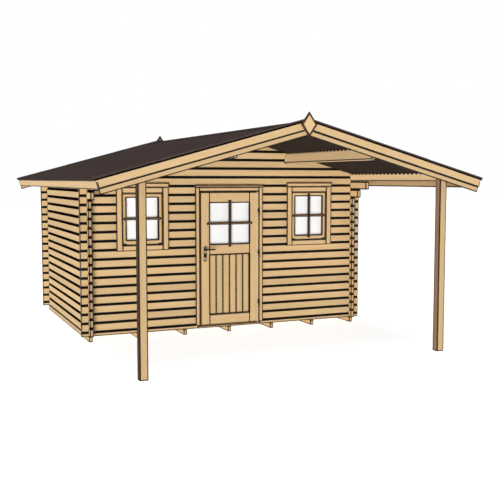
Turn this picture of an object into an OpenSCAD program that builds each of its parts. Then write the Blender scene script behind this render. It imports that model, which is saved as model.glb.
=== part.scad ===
// Garden shed of interlocking logs with a porch roof on two posts
// X runs across the front, +Y to the back, Z up from the ground

/* [Walls] */
// Width over the outer faces of the side walls
wall_w = 3790; // [3400:10:5000]
// Depth over the outer faces of the front and rear walls
wall_d = 2880; // [2000:10:4000]
// Height of one log
log_h = 114; // [110:1:130]
// Thickness of a log
log_t = 50; // [40:1:60]
// Whole logs in a side wall below the eave purlin
log_rows = 17; // [17:1:20]
// Depth of the chamfer along each log joint
groove = 9; // [3:0.5:10]
// How far the front and rear logs run past the side walls
front_log_end = 92; // [70:1:150]
// How far the side logs run past the front and rear walls
side_log_end = 52; // [40:1:120]
// How far the top side log runs forward as a bracket
upper_corbel = 415; // [300:5:600]
// How far the second side log runs forward as a bracket
lower_corbel = 200; // [150:5:290]

/* [Floor] */
// Number of floor joists
joist_count = 7; // [5:1:9]
// Width of a joist
joist_w = 45; // [40:1:60]
// Height of a joist
joist_h = 70; // [60:1:90]
// Thickness of the floor boards
floor_t = 19; // [16:1:22]
// Gap between the floor boards and the walls
floor_gap = 5; // [2:1:8]

/* [Roof] */
// Slope of the roof in degrees
roof_pitch = 15.3; // [14:0.1:17]
// Height of the eave purlin at its outer face
eave_purlin_h = 98; // [90:1:120]
// Roof length in front of the front wall
front_overhang = 2261; // [1800:10:2600]
// Roof length behind the rear wall
rear_overhang = 161; // [160:1:400]
// Roof width beyond each side wall
eave_overhang = 396; // [300:1:500]
// Gap where sloping boards lie on each other
seat_gap = 0.2; // [0.1:0.1:0.5]
// Thickness of the roof boards
roof_board_t = 28; // [20:1:34]
// Thickness of the roof covering
covering_t = 6; // [4:1:24]
// How far the covering hangs over the eave boards
covering_drip = 20; // [10:1:40]
// Width of the ridge strip on each slope
ridge_strip_w = 150; // [100:5:200]
// Thickness of the ridge strip
ridge_strip_t = 3; // [2:0.5:8]
// Distance of a middle purlin from the ridge, at the roof boards
purlin_x = 868; // [700:1:1100]
// Depth of a middle purlin
purlin_h = 140; // [125:1:160]
// Thickness of the middle purlins
purlin_t = 50; // [40:1:70]
// Depth of the ridge purlin
ridge_purlin_h = 120; // [100:1:140]
// Thickness of the ridge purlin
ridge_purlin_t = 60; // [40:1:80]

/* [Trim] */
// Thickness of the fascia and eave boards
fascia_t = 18; // [14:1:24]
// Height of the upper fascia board
fascia_upper_h = 86; // [70:1:110]
// Height of the lower fascia board that shows
fascia_lower_show = 62; // [40:1:80]
// Gap where the two boards of a fascia meet at the ridge
mitre_gap = 2; // [1:0.5:4]
// Height of an eave board
eave_board_h = 96; // [70:1:120]
// Half of the width of the ridge diamond
diamond_half_w = 95; // [70:1:120]
// Half of the height of the ridge diamond
diamond_half_h = 135; // [100:1:170]
// Height of the diamond's centre under the roof boards' ridge
diamond_drop = 8; // [0:1:30]

/* [Posts] */
// Side of a square porch post
post_w = 90; // [80:1:120]
// Distance of a post's axis inside the wall's outer face
post_inset = 79; // [60:1:90]
// Distance of a post's front face behind the fascia's front
post_setback = 78; // [60:1:200]

/* [Door] */
// Width of the door leaf
leaf_w = 828; // [780:1:880]
// Thickness of the door leaf
leaf_t = 40; // [34:1:44]
// Gap round the door leaf
leaf_gap = 9; // [6:0.5:12]
// How far the leaf stands in front of its trim
leaf_proud = 0; // [0:1:6]
// Height of the threshold over the joists
threshold_h = 30; // [24:1:40]
// Height of the head over the door leaf up to the opening's top
door_head_h = 76; // [60:1:90]
// Thickness of the door's side jambs
jamb_t = 28; // [22:1:34]
// How far the stop behind the leaf reaches over its edge
stop_lap = 20; // [14:1:26]
// Depth of the frames past the wall's inner face
frame_past = 10; // [4:1:20]
// Width of the leaf's stiles
stile_w = 128; // [110:1:150]
// Height of the leaf's top rail
top_rail_h = 140; // [110:1:160]
// Height of the leaf's lock rail
lock_rail_h = 138; // [110:1:160]
// Height of the leaf's bottom rail
bottom_rail_h = 138; // [110:1:160]
// Height of the leaf's glazed opening
door_glass_h = 546; // [400:1:600]
// Number of boards in the lower panel
panel_boards = 6; // [4:1:8]
// Thickness of the lower panel
panel_t = 18; // [14:1:22]
// Depth of the chamfer along each joint of the lower panel
panel_groove = 3; // [2:0.5:5]
// Depth of the lower panel behind the leaf's face
panel_recess = 16; // [6:1:16]
// Thickness of the glass
glass_t = 4; // [3:1:6]
// Width of the door's side trim
door_trim_w = 58; // [46:1:66]
// Height of the cap board over the door
door_cap_h = 30; // [24:1:44]
// How far the door's cap reaches over the opening's top
door_cap_over = 9; // [6:1:20]

/* [Windows] */
// Distance of a window's centre from the middle
window_x = 1188; // [1180:1:1300]
// Width of the sash
sash_w = 526; // [480:1:560]
// Rows from the front wall's eave line down to the head of the windows and the door
head_rows = 1; // [1:1:2]
// Rows from the front wall's eave line down to the window's sill
sill_rows = 8; // [8:1:10]
// Thickness of the window's lining
lining_t = 25; // [20:1:30]
// Height of the lining over the sash
lining_head_h = 93; // [60:1:110]
// Height of the lining under the sash
lining_sill_h = 48; // [36:1:60]
// Gap round the sash
sash_gap = 2; // [1:0.5:3]
// Width of the sash's stiles and top rail
sash_bar = 52; // [44:1:60]
// Height of the sash's bottom rail
sash_bottom = 64; // [50:1:74]
// Thickness of the sash
sash_t = 36; // [30:1:40]
// Depth of the sash behind the wall's face
sash_recess = 4; // [0:1:10]
// Width of the window's side trim
window_trim_w = 78; // [60:1:90]
// Height of the window's head trim
window_head_h = 75; // [60:1:90]
// Height of the cap board over the window
window_cap_h = 55; // [40:1:66]
// Height of the board under the window
apron_h = 74; // [60:1:90]

/* [Boards] */
// Thickness of the side trim
trim_t = 18; // [14:1:22]
// How far head and apron boards stay behind the side trim
trim_step = 5; // [2:1:7]
// How far a cap stands out past the side trim
cap_lip = 5; // [3:1:10]
// Open joint between two boards of a trim or frame
board_joint = 0.5; // [0.2:0.1:1]

/* [Hardware] */
// Radius of a hinge barrel
hinge_r = 8.5; // [7:0.5:10]
// Height of a hinge
hinge_h = 105; // [80:1:130]
// Width of the hinge plate on the leaf's face
hinge_plate_w = 10; // [8:1:30]
// Thickness of the hinge plate
hinge_plate_t = 2.5; // [2:0.5:4]
// Radius of a hinge pin
hinge_pin_r = 5; // [4:0.5:6]
// Running clearance of a hinge pin or the spindle
running_gap = 0.05; // [0.02:0.01:0.1]
// Clearance of a hinge barrel or the spindle beside the boards that it passes
free_gap = 0.5; // [0.3:0.1:1]
// Heights of the hinges over the leaf's bottom
hinge_heights = [252, 922, 1484]; // [200:1:1600]
// Height of the lever over the leaf's bottom
lever_height = 1006; // [950:1:1050]
// Length of the lever
lever_l = 122; // [100:1:135]
// Radius of the lever and its spindle
lever_r = 8; // [6:0.5:10]
// Distance of the lever's axis from its plate
lever_off = 42; // [34:1:60]
// Width of the handle plate
plate_w = 46; // [36:1:56]
// Height of the handle plate
plate_h = 205; // [180:1:230]
// Thickness of the handle plate
plate_t = 4; // [3:0.5:6]
// Height of the plate over the lever's axis
plate_over = 46; // [36:1:56]
// Depth of the keyhole's centre under the lever's axis
keyhole_drop = 72; // [66:1:80]
// Radius of the keyhole
keyhole_r = 6; // [4:0.5:7]
// Length of the slot under the keyhole
keyhole_slot = 18; // [12:1:24]

/* [Hidden] */
$fn = 48;
eps = 1;
half_w = wall_w / 2;
inner_x = half_w - log_t;
end_x = half_w + front_log_end;
roof_l = front_overhang + wall_d + rear_overhang;
roof_front = -roof_l / 2;
front_y = roof_front + front_overhang;
rear_y = front_y + wall_d;
board_front = roof_front + 2 * fascia_t;
base_z = joist_h;
purlin_z = base_z + log_rows * log_h;
apex_z = purlin_z + eave_purlin_h + half_w * tan(roof_pitch);
slope_l = (half_w + eave_overhang - roof_board_t * sin(roof_pitch)) / cos(roof_pitch);
fascia_low = roof_board_t - fascia_upper_h - fascia_lower_show;

// Heights of the row lines: front lines count down from the gable, side lines up from the floor
function row_z(k) = base_z + (log_rows + 0.5 - k) * log_h;
function side_z(n) = base_z + n * log_h;
function roof_z(x) = apex_z - abs(x) * tan(roof_pitch);
// A point on the right slope: distance down from the ridge, height over the boards' underside
function slope_pt(u, v) = [u * cos(roof_pitch) + v * sin(roof_pitch),
    apex_z - u * sin(roof_pitch) + v * cos(roof_pitch)];
function ridge_u(x, v) = (x - v * sin(roof_pitch)) / cos(roof_pitch);
function reversed(list) = [for (i = [len(list) - 1:-1:0]) list[i]];

gable_rows = ceil((apex_z - row_z(0)) / log_h);
head_z = row_z(head_rows);
window_sill_z = row_z(sill_rows);
leaf_z = base_z + threshold_h + leaf_gap;
leaf_top = head_z - door_head_h - leaf_gap;
frame_half = leaf_w / 2 + leaf_gap;
door_half = frame_half + jamb_t;
trim_y = front_y - trim_t;
leaf_y = trim_y - leaf_proud;
leaf_back = leaf_y + leaf_t;
hinge_x = leaf_w / 2 + hinge_r + free_gap;
hinge_y = leaf_y - hinge_r - free_gap;
lever_x = -leaf_w / 2 + stile_w / 2;
lever_z = leaf_z + lever_height;
lining_half = sash_w / 2 + sash_gap;
window_half = lining_half + lining_t;
sash_z = window_sill_z + lining_sill_h;
sash_top = head_z - lining_head_h - sash_gap;
sash_y = front_y + sash_recess;

pine = [0.88, 0.74, 0.53];
pine_light = [0.92, 0.79, 0.58];
dark_wood = [0.24, 0.18, 0.15];
roofing = [0.20, 0.16, 0.15];
pane = [0.93, 0.95, 0.96, 0.5];
iron = [0.08, 0.08, 0.08];
plate_metal = [0.78, 0.66, 0.46];

// Outline of stacked logs across their thickness, chamfered at each row line
module log_profile(lines) {
    last = len(lines) - 1;
    face = [for (i = [0:last - 1])
        each [[groove, lines[i]], [0, lines[i] + groove], [0, lines[i + 1] - groove]], [groove, lines[last]]];
    polygon(concat(face, reversed([for (p = face) [log_t - p.x, p.y]])));
}

// Logs that run across the shed, with their outer or front face at y
module cross_logs(lines, x0, x1, y) {
    translate([x0, y, 0]) rotate([90, 0, 90]) linear_extrude(x1 - x0) log_profile(lines);
}

// Logs that run from front to back, with their left face at x
module long_logs(lines, x, y0, y1) {
    translate([x, y1, 0]) rotate([90, 0, 0]) linear_extrude(y1 - y0) log_profile(lines);
}

// Extrude an outline drawn in X and Z from y0 to y1
module across_y(y0, y1) {
    translate([0, y1, 0]) rotate([90, 0, 0]) linear_extrude(y1 - y0) children();
}

// Where the side logs pass through the front or rear wall at y
module side_log_cores(y) {
    for (x = [-half_w, inner_x], n = [0:log_rows - 1])
        translate([x, y - eps, side_z(n + 0.25)]) cube([log_t, log_t + 2 * eps, log_h / 2]);
    for (x = [-half_w, inner_x])
        translate([x, y - eps, side_z(log_rows + 0.25)]) cube([log_t, log_t + 2 * eps, log_h]);
}

// Where the front and rear logs pass through the side wall at x
module cross_log_cores(x) {
    for (y = [front_y, rear_y - log_t], k = [0:log_rows])
        translate([x - eps, y, row_z(k + 0.75)]) cube([log_t + 2 * eps, log_t, log_h / 2]);
}

// Section of a middle purlin on the right slope, square to the roof
module purlin_section() {
    u = ridge_u(purlin_x, 0);
    polygon([slope_pt(u - purlin_t / 2, 0), slope_pt(u + purlin_t / 2, 0),
        slope_pt(u + purlin_t / 2, -purlin_h), slope_pt(u - purlin_t / 2, -purlin_h)]);
}

// Section of the ridge purlin, bevelled to both slopes
module ridge_section() {
    h = ridge_purlin_t / 2;
    polygon([[-h, apex_z - ridge_purlin_h], [h, apex_z - ridge_purlin_h], [h, roof_z(h)], [0, apex_z],
        [-h, roof_z(h)]]);
}

module both_sides() {
    children();
    mirror([1, 0, 0]) children();
}

// A board that lies along the right slope between two heights over the boards' underside
module slope_board(v0, v1, u_end, y0, y1, x_ridge = 0) {
    across_y(y0, y1) polygon([slope_pt(ridge_u(x_ridge, v0), v0), slope_pt(u_end, v0), slope_pt(u_end, v1),
        slope_pt(ridge_u(x_ridge, v1), v1)]);
}

module both_windows() {
    for (side = [-1, 1]) translate([side * window_x, 0, 0]) children();
}

module floor_joists() color(pine) {
    pitch = (wall_w - joist_w) / (joist_count - 1);
    for (i = [0:joist_count - 1]) translate([-half_w + i * pitch, front_y, 0])
        cube([joist_w, wall_d, joist_h]);
}

module floor_boards() color(pine) {
    x = inner_x - floor_gap;
    y = front_y + log_t + floor_gap;
    translate([-x, y, base_z]) cube([2 * x, wall_d - 2 * log_t - 2 * floor_gap, floor_t]);
}

module door_threshold() color(pine)
    translate([-door_half, front_y, base_z]) cube([2 * door_half, log_t, threshold_h]);

function front_lines(low, high) = [for (k = [low:-1:high]) row_z(k)];

module front_wall_piece(lines, x0, x1) color(pine) difference() {
    cross_logs(lines, x0, x1, front_y);
    side_log_cores(front_y);
}

function lower_lines() = concat([base_z], front_lines(log_rows, sill_rows));

function window_lines() = front_lines(sill_rows, head_rows);

module front_wall_lower_left() front_wall_piece(lower_lines(), -end_x, -door_half);
module front_wall_lower_right() front_wall_piece(lower_lines(), door_half, end_x);
module front_wall_left_corner() front_wall_piece(window_lines(), -end_x, -window_x - window_half);
module front_wall_left_of_door() front_wall_piece(window_lines(), -window_x + window_half, -door_half);
module front_wall_right_of_door() front_wall_piece(window_lines(), door_half, window_x - window_half);
module front_wall_right_corner() front_wall_piece(window_lines(), window_x + window_half, end_x);

// Gable over the openings, cut to the roof and let in round the purlins
module gable(y) color(pine) difference() {
    intersection() {
        cross_logs(front_lines(head_rows, -gable_rows), -end_x, end_x, y);
        across_y(y - eps, y + log_t + eps) polygon([[-end_x, head_z], [end_x, head_z], [end_x, row_z(0)],
            [inner_x, row_z(0)], [inner_x, roof_z(inner_x)], [0, apex_z], [-inner_x, roof_z(inner_x)],
            [-inner_x, row_z(0)], [-end_x, row_z(0)]]);
    }
    side_log_cores(y);
    across_y(y - eps, y + log_t + eps) {
        both_sides() purlin_section();
        ridge_section();
    }
}

module front_gable() gable(front_y);
module rear_gable() gable(rear_y - log_t);

module rear_wall() color(pine) difference() {
    cross_logs(concat([base_z], front_lines(log_rows, head_rows)), -end_x, end_x, rear_y - log_t);
    side_log_cores(rear_y - log_t);
}

// Side wall whose two top logs run forward as brackets under the purlin
module side_wall(x) color(pine) difference() {
    union() {
        y_end = rear_y + side_log_end;
        long_logs([for (n = [0:log_rows - 2]) side_z(n)], x, front_y - side_log_end, y_end);
        long_logs([side_z(log_rows - 2), side_z(log_rows - 1)], x, front_y - lower_corbel, y_end);
        long_logs([side_z(log_rows - 1), side_z(log_rows)], x, front_y - upper_corbel, y_end);
    }
    cross_log_cores(x);
}

module left_wall() side_wall(-half_w);
module right_wall() side_wall(inner_x);

module right_eave_purlin() color(pine) difference() {
    across_y(board_front, -board_front) polygon([[inner_x + groove, purlin_z], [half_w - groove, purlin_z],
        [half_w, purlin_z + groove], [half_w, roof_z(half_w)], [inner_x, roof_z(inner_x)],
        [inner_x, purlin_z + groove]]);
    cross_log_cores(inner_x);
}

module left_eave_purlin() mirror([1, 0, 0]) right_eave_purlin();

module middle_purlins() color(pine) both_sides() across_y(board_front, -board_front) purlin_section();
module ridge_purlin() color(pine) across_y(board_front, -board_front) ridge_section();

// Porch post with a shoulder under the eave purlin and a tongue beside it
module right_post() color(pine) {
    x0 = half_w - post_inset - post_w / 2;
    x1 = x0 + post_w;
    y0 = roof_front + post_setback;
    across_y(y0, y0 + post_w) polygon([[x0, 0], [x1, 0], [x1, purlin_z], [inner_x, purlin_z],
        [inner_x, roof_z(inner_x)], [x0, roof_z(x0)]]);
}

module left_post() mirror([1, 0, 0]) right_post();

module roof_boards_right() color(dark_wood)
    slope_board(seat_gap, roof_board_t, slope_l - fascia_t - seat_gap, board_front, -board_front);
module roof_boards_left() mirror([1, 0, 0]) roof_boards_right();

module roof_covering_right() color(roofing) slope_board(roof_board_t + seat_gap, roof_board_t + covering_t,
    slope_l + covering_drip, roof_front, -roof_front);
module roof_covering_left() mirror([1, 0, 0]) roof_covering_right();

// Two strips over the ridge, one on each slope
module ridge_strip() color(roofing) both_sides() slope_board(roof_board_t + covering_t + seat_gap,
    roof_board_t + covering_t + ridge_strip_t, ridge_strip_w, roof_front, -roof_front, mitre_gap / 2);

// Pair of boards along the rakes that meet at the ridge
module fascia(v0, v1, y0) color(pine_light)
    both_sides() slope_board(v0, v1, slope_l, y0, y0 + fascia_t, mitre_gap / 2);

module front_fascia_upper() fascia(roof_board_t - fascia_upper_h, roof_board_t, roof_front);
module front_fascia_lower() fascia(fascia_low, roof_board_t, roof_front + fascia_t);
module rear_fascia_upper() fascia(roof_board_t - fascia_upper_h, roof_board_t, -roof_front - fascia_t);
module rear_fascia_lower() fascia(fascia_low, roof_board_t, -board_front);

module diamond(y0) color(pine_light) translate([0, 0, apex_z - diamond_drop]) across_y(y0, y0 + fascia_t)
    polygon([[-diamond_half_w, 0], [0, -diamond_half_h], [diamond_half_w, 0], [0, diamond_half_h]]);

module front_diamond() diamond(roof_front - fascia_t);
module rear_diamond() diamond(-roof_front);

module eave_boards() color(pine_light) both_sides() across_y(board_front, -board_front)
    polygon([for (p = [[-fascia_t, 0], [0, 0], [0, -eave_board_h], [-fascia_t, -eave_board_h]])
        slope_pt(slope_l + p.x, roof_board_t + p.y)]);

// Trim boards round an opening: side boards, a head board, a cap and, under a window, an apron
module opening_trim(half, width, z0, z_sash, z_head, z_cap, z_top, apron) color(pine_light) {
    low = trim_y + trim_step;
    low_t = trim_t - trim_step;
    between = half - board_joint;
    over = half + width + cap_lip;
    z_side = z_cap - board_joint;
    for (side = [-1, 1]) translate([side * (half + width / 2) - width / 2, trim_y, z0])
        cube([width, trim_t, z_side - z0]);
    translate([-between, low, z_head]) cube([2 * between, low_t, z_side - z_head]);
    translate([-over, trim_y - cap_lip, z_cap]) cube([2 * over, trim_t + cap_lip, z_top - z_cap]);
    if (apron) translate([-between, low, z0]) cube([2 * between, low_t, z_sash - z0]);
}

module window_trims() both_windows() {
    z_head = sash_top + sash_gap;
    z_cap = z_head + window_head_h;
    z_top = z_cap + window_cap_h;
    opening_trim(lining_half, window_trim_w, sash_z - apron_h, sash_z, z_head, z_cap, z_top, true);
}

module window_linings() color(pine) both_windows() difference() {
    translate([-window_half, front_y, window_sill_z])
        cube([2 * window_half, log_t + frame_past, head_z - window_sill_z]);
    translate([-lining_half, front_y - eps, sash_z])
        cube([2 * lining_half, log_t + frame_past + 2 * eps, sash_top + sash_gap - sash_z]);
}

module window_sashes() color(pine_light) both_windows() difference() {
    translate([-sash_w / 2, sash_y, sash_z]) cube([sash_w, sash_t, sash_top - sash_z]);
    translate([-sash_w / 2 + sash_bar, sash_y - eps, sash_z + sash_bottom])
        cube([sash_w - 2 * sash_bar, sash_t + 2 * eps, sash_top - sash_z - sash_bottom - sash_bar]);
}

module window_glass() color(pane) both_windows()
    translate([-sash_w / 2 + sash_bar, sash_y + (sash_t - glass_t) / 2, sash_z + sash_bottom])
        cube([sash_w - 2 * sash_bar, glass_t, sash_top - sash_z - sash_bottom - sash_bar]);

// Jambs and head in the doorway, with stop boards behind the leaf
module door_frame() color(pine) {
    stop_half = leaf_w / 2 - stop_lap;
    stop_y = leaf_back + leaf_gap;
    depth = log_t + frame_past;
    stop_d = front_y + depth - stop_y;
    z0 = base_z + threshold_h;
    z_head = leaf_top + leaf_gap;
    both_sides() {
        translate([frame_half, front_y, z0]) cube([jamb_t, depth, head_z - z0]);
        translate([stop_half, stop_y, z0])
            cube([frame_half - board_joint - stop_half, stop_d, z_head - board_joint - z0]);
    }
    translate([-frame_half + board_joint, front_y, z_head])
        cube([2 * (frame_half - board_joint), depth, head_z - z_head]);
    translate([-stop_half + board_joint, stop_y, leaf_top - stop_lap])
        cube([2 * (stop_half - board_joint), stop_d, stop_lap + leaf_gap - board_joint]);
}

module door_trim() opening_trim(frame_half, door_trim_w, leaf_z, leaf_z, leaf_top + leaf_gap,
    head_z + door_cap_over - door_cap_h, head_z + door_cap_over, false);

// Fixed half of each hinge: lower barrel with the pin, seated on the side trim
module hinge_pins() color(iron) for (h = hinge_heights)
    translate([hinge_x, hinge_y, leaf_z + h - hinge_h / 2]) {
        cylinder(r = hinge_r, h = hinge_h / 2 - running_gap);
        cylinder(r = hinge_pin_r, h = hinge_h - hinge_pin_r);
        cube([hinge_r / 2, trim_y - hinge_y, hinge_h / 2 - running_gap]);
    }

// Moving half of each hinge: upper barrel over the pin, on a plate on the leaf's face
module hinge_barrels() color(iron) for (h = hinge_heights)
    translate([hinge_x, hinge_y, leaf_z + h]) difference() {
        reach = hinge_x - leaf_w / 2 + hinge_plate_w;
        union() {
            cylinder(r = hinge_r, h = hinge_h / 2);
            translate([-reach, leaf_y - hinge_y - hinge_plate_t, 0]) {
                cube([hinge_plate_w, hinge_plate_t, hinge_h / 2]);
                cube([reach, hinge_plate_t - free_gap, hinge_h / 2]);
            }
        }
        translate([0, 0, -eps])
            cylinder(r = hinge_pin_r + running_gap, h = hinge_h / 2 + eps - hinge_pin_r + running_gap);
    }

leaf_rail_z = leaf_top - top_rail_h - door_glass_h;
panel_top = leaf_rail_z - lock_rail_h;
field_half = leaf_w / 2 - stile_w;

module door_leaf() color(pine_light) difference() {
    translate([-leaf_w / 2, leaf_y, leaf_z]) cube([leaf_w, leaf_t, leaf_top - leaf_z]);
    translate([-field_half, leaf_y - eps, leaf_rail_z])
        cube([2 * field_half, leaf_t + 2 * eps, door_glass_h]);
    translate([-field_half, leaf_y - eps, leaf_z + bottom_rail_h])
        cube([2 * field_half, leaf_t + 2 * eps, panel_top - leaf_z - bottom_rail_h]);
    translate([lever_x, leaf_back + eps, lever_z]) rotate([90, 0, 0])
        cylinder(r = lever_r + free_gap, h = leaf_t + 2 * eps);
}

// Upright boards of the lower panel, chamfered where they meet
module door_panel() color(pine) {
    board = 2 * field_half / panel_boards;
    g = panel_groove;
    front = [for (i = [0:panel_boards - 1])
        each [[i * board, g], [i * board + g, 0], [(i + 1) * board - g, 0]], [2 * field_half, g]];
    translate([-field_half, leaf_y + panel_recess, leaf_z + bottom_rail_h])
        linear_extrude(panel_top - leaf_z - bottom_rail_h)
            polygon(concat(front, [[2 * field_half, panel_t], [0, panel_t]]));
}

module door_glass() color(pane)
    translate([-field_half, leaf_y + (leaf_t - glass_t) / 2, leaf_rail_z])
        cube([2 * field_half, glass_t, door_glass_h]);

// Outline of a handle plate with round ends and a keyhole, drawn from the lever's axis
module plate_outline() difference() {
    r = plate_w / 2;
    union() {
        translate([-r, plate_over - plate_h + r]) square([plate_w, plate_h - plate_w]);
        for (z = [plate_over - r, plate_over - plate_h + r]) translate([0, z]) circle(r = r);
    }
    translate([0, -keyhole_drop]) circle(r = keyhole_r);
    translate([-keyhole_r / 2, -keyhole_drop - keyhole_slot]) square([keyhole_r, keyhole_slot]);
}

// Long plates on both faces of the leaf, bored for the spindle
module handle_plates() color(plate_metal) for (y = [leaf_y - plate_t, leaf_back])
    translate([lever_x, 0, lever_z]) difference() {
        across_y(y, y + plate_t) plate_outline();
        translate([0, y + plate_t + eps, 0]) rotate([90, 0, 0])
            cylinder(r = lever_r + running_gap, h = plate_t + 2 * eps);
    }

// Spindle with a lever on each face
module door_handle() color(iron) translate([lever_x, 0, lever_z]) {
    y0 = leaf_y - plate_t - lever_off;
    y1 = leaf_back + plate_t + lever_off;
    translate([0, y1, 0]) rotate([90, 0, 0]) cylinder(r = lever_r, h = y1 - y0);
    for (y = [y0, y1]) translate([0, y, 0]) {
        sphere(r = lever_r);
        rotate([0, 90, 0]) cylinder(r = lever_r, h = lever_l);
        translate([lever_l, 0, 0]) sphere(r = lever_r);
    }
}

floor_joists();
floor_boards();
door_threshold();
front_wall_lower_left();
front_wall_lower_right();
front_wall_left_corner();
front_wall_left_of_door();
front_wall_right_of_door();
front_wall_right_corner();
front_gable();
rear_wall();
rear_gable();
left_wall();
right_wall();
left_eave_purlin();
right_eave_purlin();
middle_purlins();
ridge_purlin();
left_post();
right_post();
roof_boards_left();
roof_boards_right();
roof_covering_left();
roof_covering_right();
ridge_strip();
front_fascia_lower();
front_fascia_upper();
rear_fascia_lower();
rear_fascia_upper();
front_diamond();
rear_diamond();
eave_boards();
window_trims();
window_linings();
window_sashes();
window_glass();
door_frame();
door_trim();
hinge_pins();
door_leaf();
door_panel();
door_glass();
hinge_barrels();
handle_plates();
door_handle();
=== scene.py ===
"""Garden shed of interlocking logs: finishes, fine pieces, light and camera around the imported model."""
import math

import bmesh
import bpy
from mathutils import Euler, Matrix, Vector


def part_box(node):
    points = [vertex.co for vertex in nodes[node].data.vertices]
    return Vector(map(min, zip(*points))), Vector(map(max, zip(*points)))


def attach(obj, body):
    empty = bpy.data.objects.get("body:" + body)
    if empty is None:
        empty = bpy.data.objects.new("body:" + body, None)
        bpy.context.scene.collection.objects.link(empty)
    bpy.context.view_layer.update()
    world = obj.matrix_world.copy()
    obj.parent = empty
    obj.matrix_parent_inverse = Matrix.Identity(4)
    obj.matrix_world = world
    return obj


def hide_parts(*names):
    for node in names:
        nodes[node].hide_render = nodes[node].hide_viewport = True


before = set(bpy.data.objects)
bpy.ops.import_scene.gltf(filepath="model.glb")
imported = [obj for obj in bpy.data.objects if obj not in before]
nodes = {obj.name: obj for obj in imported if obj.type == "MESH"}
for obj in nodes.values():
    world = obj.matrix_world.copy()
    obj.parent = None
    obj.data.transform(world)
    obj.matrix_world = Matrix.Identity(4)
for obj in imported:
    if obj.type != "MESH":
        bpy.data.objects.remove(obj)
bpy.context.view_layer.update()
scene = bpy.context.scene

# Sizes in metres, worked out from the frame where it gives them
LOG_H = 0.114
ROOF_PITCH = math.radians(15.3)
PITCH_SIN = math.sin(ROOF_PITCH)
PITCH_COS = math.cos(ROOF_PITCH)
SIDE_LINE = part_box("left_wall")[0].z
FRONT_LINE = SIDE_LINE + LOG_H / 2
APEX_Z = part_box("ridge_purlin")[1].z
ROOF_BOARD_T = 0.028
COVERING_T = 0.006
RIDGE_STRIP_T = 0.003
RIDGE_STRIP_W = 0.150
STILE_W = 0.128
WINDOW_X = 1.188
PANEL_BOARDS = 6
ROOF_PLANK_W = 0.090
plank_low, plank_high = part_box("roof_boards_left")
plank_count = round((plank_high.y - plank_low.y) / ROOF_PLANK_W)
plank_pitch = (plank_high.y - plank_low.y) / plank_count

# Colours in linear RGB
PINE = (0.715, 0.503, 0.266)
PINE_DEEP = (0.633, 0.427, 0.208)
# A lighter copy of the pine, as painted light for the beams in the shade of the roof and for the left wall
PINE_PAINTED_LIGHT = (0.810, 0.592, 0.332)
PINE_PAINTED_LIGHT_DEEP = (0.735, 0.515, 0.272)
# A darker copy of the pine, as painted shade for the posts, which stand in fuller light than the walls under
# the roof
PINE_POST_PAINTED_SHADE = (0.590, 0.415, 0.224)
PINE_POST_PAINTED_SHADE_DEEP = (0.520, 0.350, 0.174)
# A darker copy of the pine, as painted shade for the fascias, which stand in fuller light than the walls
# under the roof
PINE_RAKE_PAINTED_SHADE = (0.655, 0.461, 0.249)
PINE_RAKE_PAINTED_SHADE_DEEP = (0.577, 0.389, 0.193)
PINE_END = (0.400, 0.296, 0.196)
PINE_END_PALE = (0.560, 0.395, 0.225)
PINE_END_DARK = (0.130, 0.072, 0.038)
PINE_SHADE = (0.330, 0.205, 0.115)
BAR_BROWN = (0.290, 0.175, 0.090)
BAR_BROWN_DEEP = (0.200, 0.115, 0.060)
BAR_DARK = (0.095, 0.056, 0.032)
BAR_DARK_DEEP = (0.055, 0.033, 0.019)
BEAD_DARK = (0.026, 0.018, 0.014)
BEAD_DARK_DEEP = (0.014, 0.010, 0.008)
# Painted shade on the faces of the posts towards -X
POST_PAINTED_SHADE = (0.290, 0.177, 0.111)
POST_PAINTED_SHADE_DARK = (0.075, 0.050, 0.037)
# Painted shade, near black, on the faces of the left jambs towards -X
JAMB_PAINTED_SHADE = (0.012, 0.009, 0.008)
# Near black for dark lines along joints and edges, and for painted shade
LINE_AND_SHADE_DARK = (0.004, 0.003, 0.003)
KNOT = (0.330, 0.170, 0.075)
STAIN = (0.046, 0.033, 0.027)
STAIN_DEEP = (0.033, 0.024, 0.019)
FELT = (0.078, 0.056, 0.051)
FELT_DEEP = (0.060, 0.043, 0.039)
PANE = (0.960, 0.965, 0.970)
PANE_SHADE = (0.885, 0.900, 0.910)
IRON = (0.010, 0.010, 0.011)
IRON_WORN = (0.018, 0.017, 0.016)
BRASS = (0.620, 0.440, 0.240)
BRASS_DEEP = (0.480, 0.330, 0.170)

# Dark joints between logs, with painted shade: half-width, how far their middle lies under the joint as
# painted shadow under each log, and softness
ROW_LINE = 0.0160
SIDE_ROW_LINE = 0.0168
ROW_SHADOW_DROP = 0.0050
ROW_SOFT = 0.0012

# Dark lines along edges: reach of the rounding that finds them, its limits and samples, and their depth
EDGE_LINE = 0.022
LOG_EDGE = 0.014
SIDE_LOG_EDGE = 0.022
DIAMOND_EDGE = 0.036
RAKE_EDGE = 0.020
FLOOR_EDGE = 0.002
PLANK_EDGE = 0.003
BAR_EDGE = 0.008
BEAD_EDGE = 0.004
PLATE_EDGE = 0.018
EDGE_FULL = 0.9965
EDGE_NONE = 0.9995
EDGE_SAMPLES = 16
EDGE_DEPTH = 0.96

# Dark lines on the fascias at the foot, step and top, the one at the step as a joint with painted shadow
# under the upper board, and the band under the top without an edge line
RAKE_LINE = 0.009
STEP_LINE = 0.004
TOP_LINE = 0.003
RAKE_CLEAR = 0.020

# Other dark lines: felt ends, joints of the door, grooves of its panel, and painted shade of the roof board
# joints on the beams
FELT_LINE = 0.015
JOINT_LINE = 0.0068
GROOVE_LINE = 0.0042
TOOTH_H = 0.022
TOOTH_H_SOFT = 0.004
TOOTH_W = 0.024
TOOTH_W_SOFT = 0.006
LINE_SOFT = 0.001

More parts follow.
